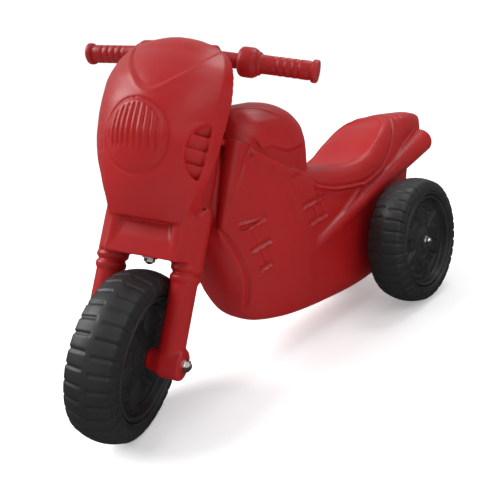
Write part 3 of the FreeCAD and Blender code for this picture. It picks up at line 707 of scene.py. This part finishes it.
def fairing_forms():
    """The open-backed fairing wall with its floor and roof."""
    heights = np.linspace(FAIRING[0][0], FAIRING[-1][0], 80)
    walls = []
    for height in heights:
        inset = FAIRING_WALL + 10 * ease(378, 406, height)
        outline = np.concatenate((fairing_outline(height, 0), fairing_outline(height, inset)[::-1]))
        walls.append(np.column_stack((outline, np.full(len(outline), height))))
    forms = [lofted(walls)]
    for low, high in ((172, 177), (403, 408)):
        plates = []
        for height in (low, high):
            outline = fairing_outline(height, 0)
            plates.append(np.column_stack((outline, np.full(len(outline), height))))
        forms.append(lofted(plates))
    return forms


def leg_forms(side):
    """One fork leg: foot, ringed joint and shroud with a peak over its outer front."""
    across = side * LEG_OFFSET
    leg = [
        (-2, 17.5), (102, 17.5), (104.5, 20), (110.5, 20), (113, 17), (115, 17),
        (117.5, 21), (122, 21), (124.5, 19.4), (127, 20), (178, 20),
    ]
    foot = [(24.3, 13), (34, 15), (46, 20), (71, 20), (74, 17.5)]
    levels = ((176, 20, -1.75), (184, 20, -1.35), (192, 19, -0.9), (200, 17, -0.45))
    peak = []
    for height, reach, front in levels:
        angles = np.linspace(front, 0.35, 15)
        arc = [(across + side * reach * math.cos(turn), reach * math.sin(turn)) for turn in angles]
        peak.append([(x, y, height) for x, y in (*arc, (across - side * 2, 2))])
    return [
        turned((across, 0, 0), (0, 0, 1), leg),
        turned((0, 0, 0), (side, 0, 0), foot),
        lofted(peak),
    ]


def cheek_form(side):
    """The corner that carries the fairing's lip down on to the leg."""
    outline = [
        (33, -31), (36, -34.5), (40, -36), (46, -36.5), (52, -34), (57, -29.5), (62, -23),
        (66, -14), (66, 0), (47, 0), (39, -11),
    ]
    levels = ((127, 3), (150, 2), (186, 0))
    return lofted([[(side * x, y + back, height) for x, y in outline] for height, back in levels])


def headlamp_relief(x, z):
    """Inward depth of the fluted headlamp and its grooved bezel."""
    aside, low = x + 7.5, z - 261.5
    edge = np.hypot(aside / 40.5, low / 42)
    outside = (edge - 1) * 40
    depth = 1.5 * bump(outside, 2.2) - 5.2 * np.clip(1 - edge**2, 0, 1) ** 0.55
    fanned = (aside - 2) / np.sqrt(np.clip(1.25 - (low / 58) ** 2, 0.2, 2))
    flute = np.abs((fanned / 7.0) % 1 - 0.5) * 7.0
    fluted = ease(0.88, 0.8, edge) * ease(-19, -9, low + 0.004 * aside**2)
    return depth + 1.9 * fluted * bump(flute, 1.3)


def screen_relief(x, z):
    """Inward depth of the shallow screen panel, rounder below and crisper at the upper corners."""
    aside = np.abs(x + 1)
    outline = (
        (0, 315), (5, 315.8), (13, 321), (23, 331), (35, 345), (47, 364), (58, 388), (75, 430),
    )
    slope = between(((0, 0), (13, 0.7), (23, 1.0), (35, 1.4), (47, 1.8), (75, 2.3)), aside)
    above = (z - between(outline, aside)) / np.sqrt(1 + slope**2)
    soft = between(((0, 6), (30, 4), (55, 2.5)), aside)
    sunk = 2.6 * ease(0, 1, above / soft) * ease(402, 380, z)
    return sunk - 0.5 * bump(above + 2.5, 2.5) * ease(398, 380, z)


def vent_relief(across, z):
    """Inward depth of a louvred cheek vent: D-shaped, its straight edge beside the corner."""
    tall = np.clip(1 - ((z - 258) / 33) ** 2, 0, 1)
    nose = between(column(FAIRING, 1), z) - FAIRING_CORNER
    inner = nose - 23 * np.sqrt(tall)
    opening = ease(0, 2.4, across - inner) * ease(0.4, 6, nose - across) * ease(0, 0.1, tall)
    slat = ((292 - z) / 17) % 1
    step = slat * ease(1, 0.84, slat)
    rim = 0.9 * bump(across - inner + 2.2, 2.0) * ease(0, 0.2, tall)
    return opening * (3.2 + 7.0 * step) - rim


def fork_skin(points):
    """The fork's skin with the headlamp, screen and vents pressed into the fairing's wall."""
    x, y, z = points.T
    across = np.abs(x)
    behind = y - front_face(across, z)
    wall = ease(11, 7, behind) * ease(200, 206, z)
    pressed = wall * ease(70, 62, across) * (headlamp_relief(x, z) + screen_relief(x, z))
    vent = ease(13, 9, behind) * ease(206, 214, z) * vent_relief(across, z)
    vent *= np.where(x > 0, 1, FAR_VENT_SHARE)
    moved = points.copy()
    moved[:, 0] -= np.sign(x) * 0.3 * vent
    moved[:, 1] += pressed + 0.95 * vent
    return moved


def make_fork():
    """The hollow steered moulding: two legs, crown, headlamp fairing and upper arm."""
    crown = []
    for front, height in CROWN:
        crown.append([(x, y, height) for x, y in ((-50, front), (50, front), (50, 30), (-50, 30))])
    arm = boxed((-32, -52, ARM_BOTTOM), (32, 43, ARM_TOP))
    riser = boxed((-25, 19, ARM_TOP - 4), (25, 43, BAR_HEIGHT - PAD_HALF_SIZE[2]))
    forms = [*fairing_forms(), lofted(crown), arm, riser]
    for side in (-1, 1):
        forms += leg_forms(side)
        forms.append(cheek_form(side))
    piece = make_object("fork_moulding", forms)
    fuse(piece, FORK_VOXEL, 5)
    points, _ = read_skin(piece)
    write_skin(piece, fork_skin(points))
    settle(piece, "front_end", "red_fork_plastic", "fork_fairing", fork_matrix())


# The handlebar.


def bar_stations():
    """(distance, radius) along one arm: neck, switch barrel, ringed grip and end flange."""
    stations = [
        (20, 10.2), (60, 10.4), (60.6, 13), (62, 17), (64.5, 19.3), (68, 20), (80, 20), (83, 19.2),
        (87, 17), (88, 15.6), (91, 15.2), (92.2, 13.4), (95, 12.5), (110, 12.3),
    ]
    for start in (114, 124, 134, 144):
        stations += [(start, 12.4), (start + 0.8, 11.8), (start + 2, 11.8), (start + 2.8, 12.4)]
        stations += [(start + 6, 12.5)]
    stations += [(159, 12.5), (161, 11.9), (162.5, 12.1), (164, 14.4), (166.5, 15), (170, 14.8)]
    return [*stations, (171.5, 13.6), (172, 11)]


def make_handlebar():
    """One bar: flat pad bolted to the arm, switch barrels and ringed grips."""
    middle = np.array((0, BAR_SETBACK, BAR_HEIGHT))
    pad = boxed(middle - PAD_HALF_SIZE, middle + PAD_HALF_SIZE)
    piece = make_object("handlebar_moulding", [pad])
    soften = piece.modifiers.new("round", "BEVEL")
    soften.width = 4 * MM
    soften.segments = 4
    apply_modifiers(piece)
    droop = math.radians(BAR_DROOP)
    for side in (-1, 1):
        run = (side * math.cos(droop), 0, -math.sin(droop))
        combine(piece, [turned(middle, run, bar_stations(), 72)], "UNION")
    settle(piece, "front_end", "red_bar_plastic", "handlebar", fork_matrix(), 40)


# The wheels.


def wheel_profile():
    """(out, radius) along one half of a wheel, from the middle of the tread to the bore."""
    middle = TYRE_RADIUS - TREAD_CROWN
    points = [(out, middle + math.sqrt(TREAD_CROWN**2 - out**2)) for out in np.linspace(0, 24, 20)]
    for turn in np.linspace(0, math.pi / 2, 27)[1:]:
        points.append((24 + 8 * math.sin(turn), 88 + 17 * math.cos(turn)))
    points += [
        (31.9, 87), (30.8, 86.4), (30.8, 85.9), (31.7, 85.3), (31.6, 84.4), (30.4, 83.9),
        (30.4, 83.4), (31.2, 82.8), (30.6, 82.0), (26.4, 81.6), (25.2, 81.0), (25.2, 80.2),
        (26.2, 79.6), (28.8, 79.2), (29.4, 78.5), (29.4, 77.6), (28.2, 77.2), (28.2, 76.7),
        (29.0, 76.2), (28.6, 75.3), (26.4, 74.3), (21.0, 73.2), (18.0, 72.2), (17.2, DISC_RADIUS),
    ]
    points += [(DISC_OUT, radius) for radius in np.linspace(69.8, 28.6, 28)]
    points += [(17.1, 27), (17.5, 25), (18.4, 22.5), (20, 18.5), (21.3, 15.2), (21.8, 13.8)]
    return [*points, (22, 12.6), (22, 8.1)]


def off_centre(turn, count, stagger=0.0):
    """Distance, in pitches, from the nearest of count evenly spaced places round the wheel."""
    return np.abs((turn * count / math.tau + stagger) % 1 - 0.5)


def tyre_depth(out, radius, turn, notches):
    """Depth of the tread's grooves and the shoulder's notches, less the wall's rings."""
    aside = np.abs(out)
    pitch = math.tau * TYRE_RADIUS / TREAD_GROOVES
    groove = off_centre(turn, TREAD_GROOVES, np.where(out > 0, 0, GROOVE_STAGGER)) * pitch
    row = ease(3.2, 5.0, aside) * ease(88, 92, radius)
    depth = row * 1.6 * ease(2.7, 1.5, groove)
    if notches:
        shoulder = ease(20, 23, aside) * window(radius, 98, 104, 1.5)
        depth += 0.8 * shoulder * ease(0.22, 0.34, off_centre(turn, notches))
    rings = bump(radius - 95.5, 0.9) + bump(radius - 92.0, 0.9)
    return depth - 0.4 * rings * ease(22, 25, aside)


def spoke_height(radius, turn):
    """How far the spokes, studs and rings stand out of the dished disc, less its pockets."""
    aside = off_centre(turn, SPOKES) * math.tau / SPOKES * radius
    spoke = ease(6.2, 4.6, aside - radius * 0.03) * window(radius, 29, 66, 3)
    pocket = window(radius, 38, 60, 2) * ease(9, 11, aside)
    studs = window(radius, 50, 57, 1.5) * ease(3.6, 2.6, np.abs(aside - 17))
    ribs = 0.8 * bump(radius - 33, 1.0) + 1.2 * bump(radius - 66.5, 1.4)
    return 2.0 * spoke - 3.2 * pocket + 2.6 * studs * pocket + ribs


def make_wheel(name, body, node, matrix, notches=0):
    """A one-piece moulded wheel with staggered tread grooves, ringed walls and spoked discs."""
    half = wheel_profile()
    profile = [*[(-out, radius) for out, radius in half[:0:-1]], *half]
    outs, radii = np.array(profile).T
    tangent = np.stack((np.gradient(outs), np.gradient(radii)), 1)
    tangent /= np.linalg.norm(tangent, axis=1)[:, None]
    on_disc = (np.abs(outs) < DISC_OUT + 0.05) & (radii < DISC_RADIUS)
    rings = []
    for turn in np.linspace(0, math.tau, WHEEL_STEPS, endpoint=False):
        depth = tyre_depth(outs, radii, turn, notches)
        raised = np.where(on_disc, spoke_height(radii, turn), 0)
        out = outs + depth * tangent[:, 1] + np.sign(outs) * raised
        radius = radii - depth * tangent[:, 0]
        rings.append(np.stack((out, radius * math.cos(turn), radius * math.sin(turn)), 1))
    count = len(profile)
    here, there = np.arange(count), (np.arange(count) + 1) % count
    faces = []
    for step in range(WHEEL_STEPS):
        low, high = step * count, (step + 1) % WHEEL_STEPS * count
        faces += np.stack((low + here, low + there, high + there, high + here), 1).tolist()
    piece = make_object(name, [(np.concatenate(rings), faces)])
    settle(piece, body, "black_wheel_plastic", node, matrix, 60)


# The studio.


def make_floor():
    """A wide pale floor."""
    mesh = bpy.data.meshes.new("floor")
    work = bmesh.new()
    bmesh.ops.create_circle(work, cap_ends=True, radius=12, segments=96)
    work.to_mesh(mesh)
    work.free()
    floor = bpy.data.objects.new("floor", mesh)
    floor.location.z = -0.0005
    floor.visible_glossy = False
    bpy.context.scene.collection.objects.link(floor)
    shader = Shader("pale_floor")
    clouds = shader.noise(3, 3)
    colour = shader.ramp(clouds, ((0.3, (0.86, 0.86, 0.865)), (0.7, (0.89, 0.89, 0.89))))
    shader.link(colour, shader.base.inputs["Base Color"])
    shader.base.inputs["Roughness"].default_value = 0.8
    shader.base.inputs["Emission Color"].default_value = (1, 1, 1, 1)
    shader.base.inputs["Emission Strength"].default_value = 0.30
    mesh.materials.append(shader.material)


def make_backdrop():
    """A white dome round the studio, only there to be looked at."""
    mesh = bpy.data.meshes.new("backdrop")
    work = bmesh.new()
    bmesh.ops.create_uvsphere(work, u_segments=48, v_segments=24, radius=14)
    work.to_mesh(mesh)
    work.free()
    backdrop = bpy.data.objects.new("backdrop", mesh)
    backdrop.visible_diffuse = False
    backdrop.visible_glossy = False
    backdrop.visible_shadow = False
    bpy.context.scene.collection.objects.link(backdrop)
    shader = Shader("white_backdrop")
    glow = shader.ramp(shader.noise(0.4, 2), ((0.3, (0.97, 0.97, 0.98)), (0.7, (1.0, 1.0, 1.0))))
    shader.link(glow, shader.base.inputs["Emission Color"])
    shader.base.inputs["Emission Strength"].default_value = 1.06
    shader.base.inputs["Base Color"].default_value = (0, 0, 0, 1)
    shader.base.inputs["Specular IOR Level"].default_value = 0
    mesh.materials.append(shader.material)


def aim_lamp(name, kind, place, power):
    """A lamp that points at the middle of the toy."""
    data = bpy.data.lights.new(name, kind)
    data.energy = power
    lamp = bpy.data.objects.new(name, data)
    lamp.location = place
    towards = Vector(TOY_MIDDLE) - Vector(place)
    lamp.rotation_euler = towards.to_track_quat("-Z", "Y").to_euler()
    bpy.context.scene.collection.objects.link(lamp)
    return data


def make_world():
    """Surroundings that are dim below and brighter overhead."""
    world = bpy.data.worlds.new("studio")
    world.use_nodes = True
    nodes, links = world.node_tree.nodes, world.node_tree.links
    parts = nodes.new("ShaderNodeSeparateXYZ")
    links.new(nodes.new("ShaderNodeTexCoord").outputs["Generated"], parts.inputs[0])
    rise = nodes.new("ShaderNodeMapRange")
    rise.inputs["From Min"].default_value = -0.3
    rise.inputs["From Max"].default_value = 0.9
    rise.inputs["To Min"].default_value = 0.04
    rise.inputs["To Max"].default_value = 0.75
    links.new(parts.outputs["Z"], rise.inputs["Value"])
    background = nodes["Background"]
    background.inputs["Color"].default_value = (0.98, 0.99, 1.0, 1)
    links.new(rise.outputs["Result"], background.inputs["Strength"])
    bpy.context.scene.world = world


def make_studio():
    """Soft light from above on the camera's left, three lamps behind and right, a pale room."""
    bpy.context.scene.view_settings.view_transform = "Standard"
    make_world()
    make_floor()
    make_backdrop()
    aim_lamp("soft_sky", "SUN", (-1.2, -1.0, 2.0), 3.0).angle = math.radians(40)
    aim_lamp("overhead", "AREA", (0.3, 1.0, 1.6), 6).size = 0.5
    aim_lamp("right_side", "AREA", (1.5, 0.5, 1.5), 6).size = 1.0
    aim_lamp("near_right", "AREA", (1.5, -0.4, 1.0), 3).size = 0.9


def make_camera():
    """The camera, level with the photograph's view and rolled slightly."""
    azimuth, elevation, roll = map(math.radians, (CAMERA_AZIMUTH, CAMERA_ELEVATION, CAMERA_ROLL))
    forward = Vector(
        (
            -math.sin(azimuth) * math.cos(elevation),
            math.cos(azimuth) * math.cos(elevation),
            -math.sin(elevation),
        )
    )
    right = Vector((math.cos(azimuth), math.sin(azimuth), 0))
    up = right.cross(forward)
    rolled_right = right * math.cos(roll) + up * math.sin(roll)
    rolled_up = up * math.cos(roll) - right * math.sin(roll)
    data = bpy.data.cameras.new("camera")
    data.lens = CAMERA_LENS
    data.sensor_width = 36
    camera = bpy.data.objects.new("camera", data)
    axes = Matrix((rolled_right, rolled_up, -forward)).transposed()
    place = Vector(CAMERA_TARGET) - forward * CAMERA_DISTANCE
    camera.matrix_world = Matrix.Translation(place) @ axes.to_4x4()
    bpy.context.scene.collection.objects.link(camera)
    bpy.context.scene.camera = camera


def dress_frame():
    """Gives every CAD piece the finish of its slot."""
    slots = {}
    for entry in frame["record"]["subparts"]:
        slots[entry["node"]] = entry["material_slot"]
    for name, node in frame["nodes"].items():
        finish = MATERIALS[slots[name]]
        for slot in node.material_slots:
            slot.material = finish


dress_frame()
make_body()
make_fork()
make_handlebar()
make_wheel("front_wheel_moulding", "front_road_wheel", "front_wheel", fork_matrix())
for place in ("rear_left", "rear_right"):
    hub = Matrix.Translation(Vector(JOINTS[f"{place}_wheel_spin"]["pos_m"]) / MM)
    names = (f"{place}_wheel_moulding", f"{place}_road_wheel", f"{place}_wheel")
    make_wheel(*names, hub, REAR_NOTCHES)
make_camera()
make_studio()
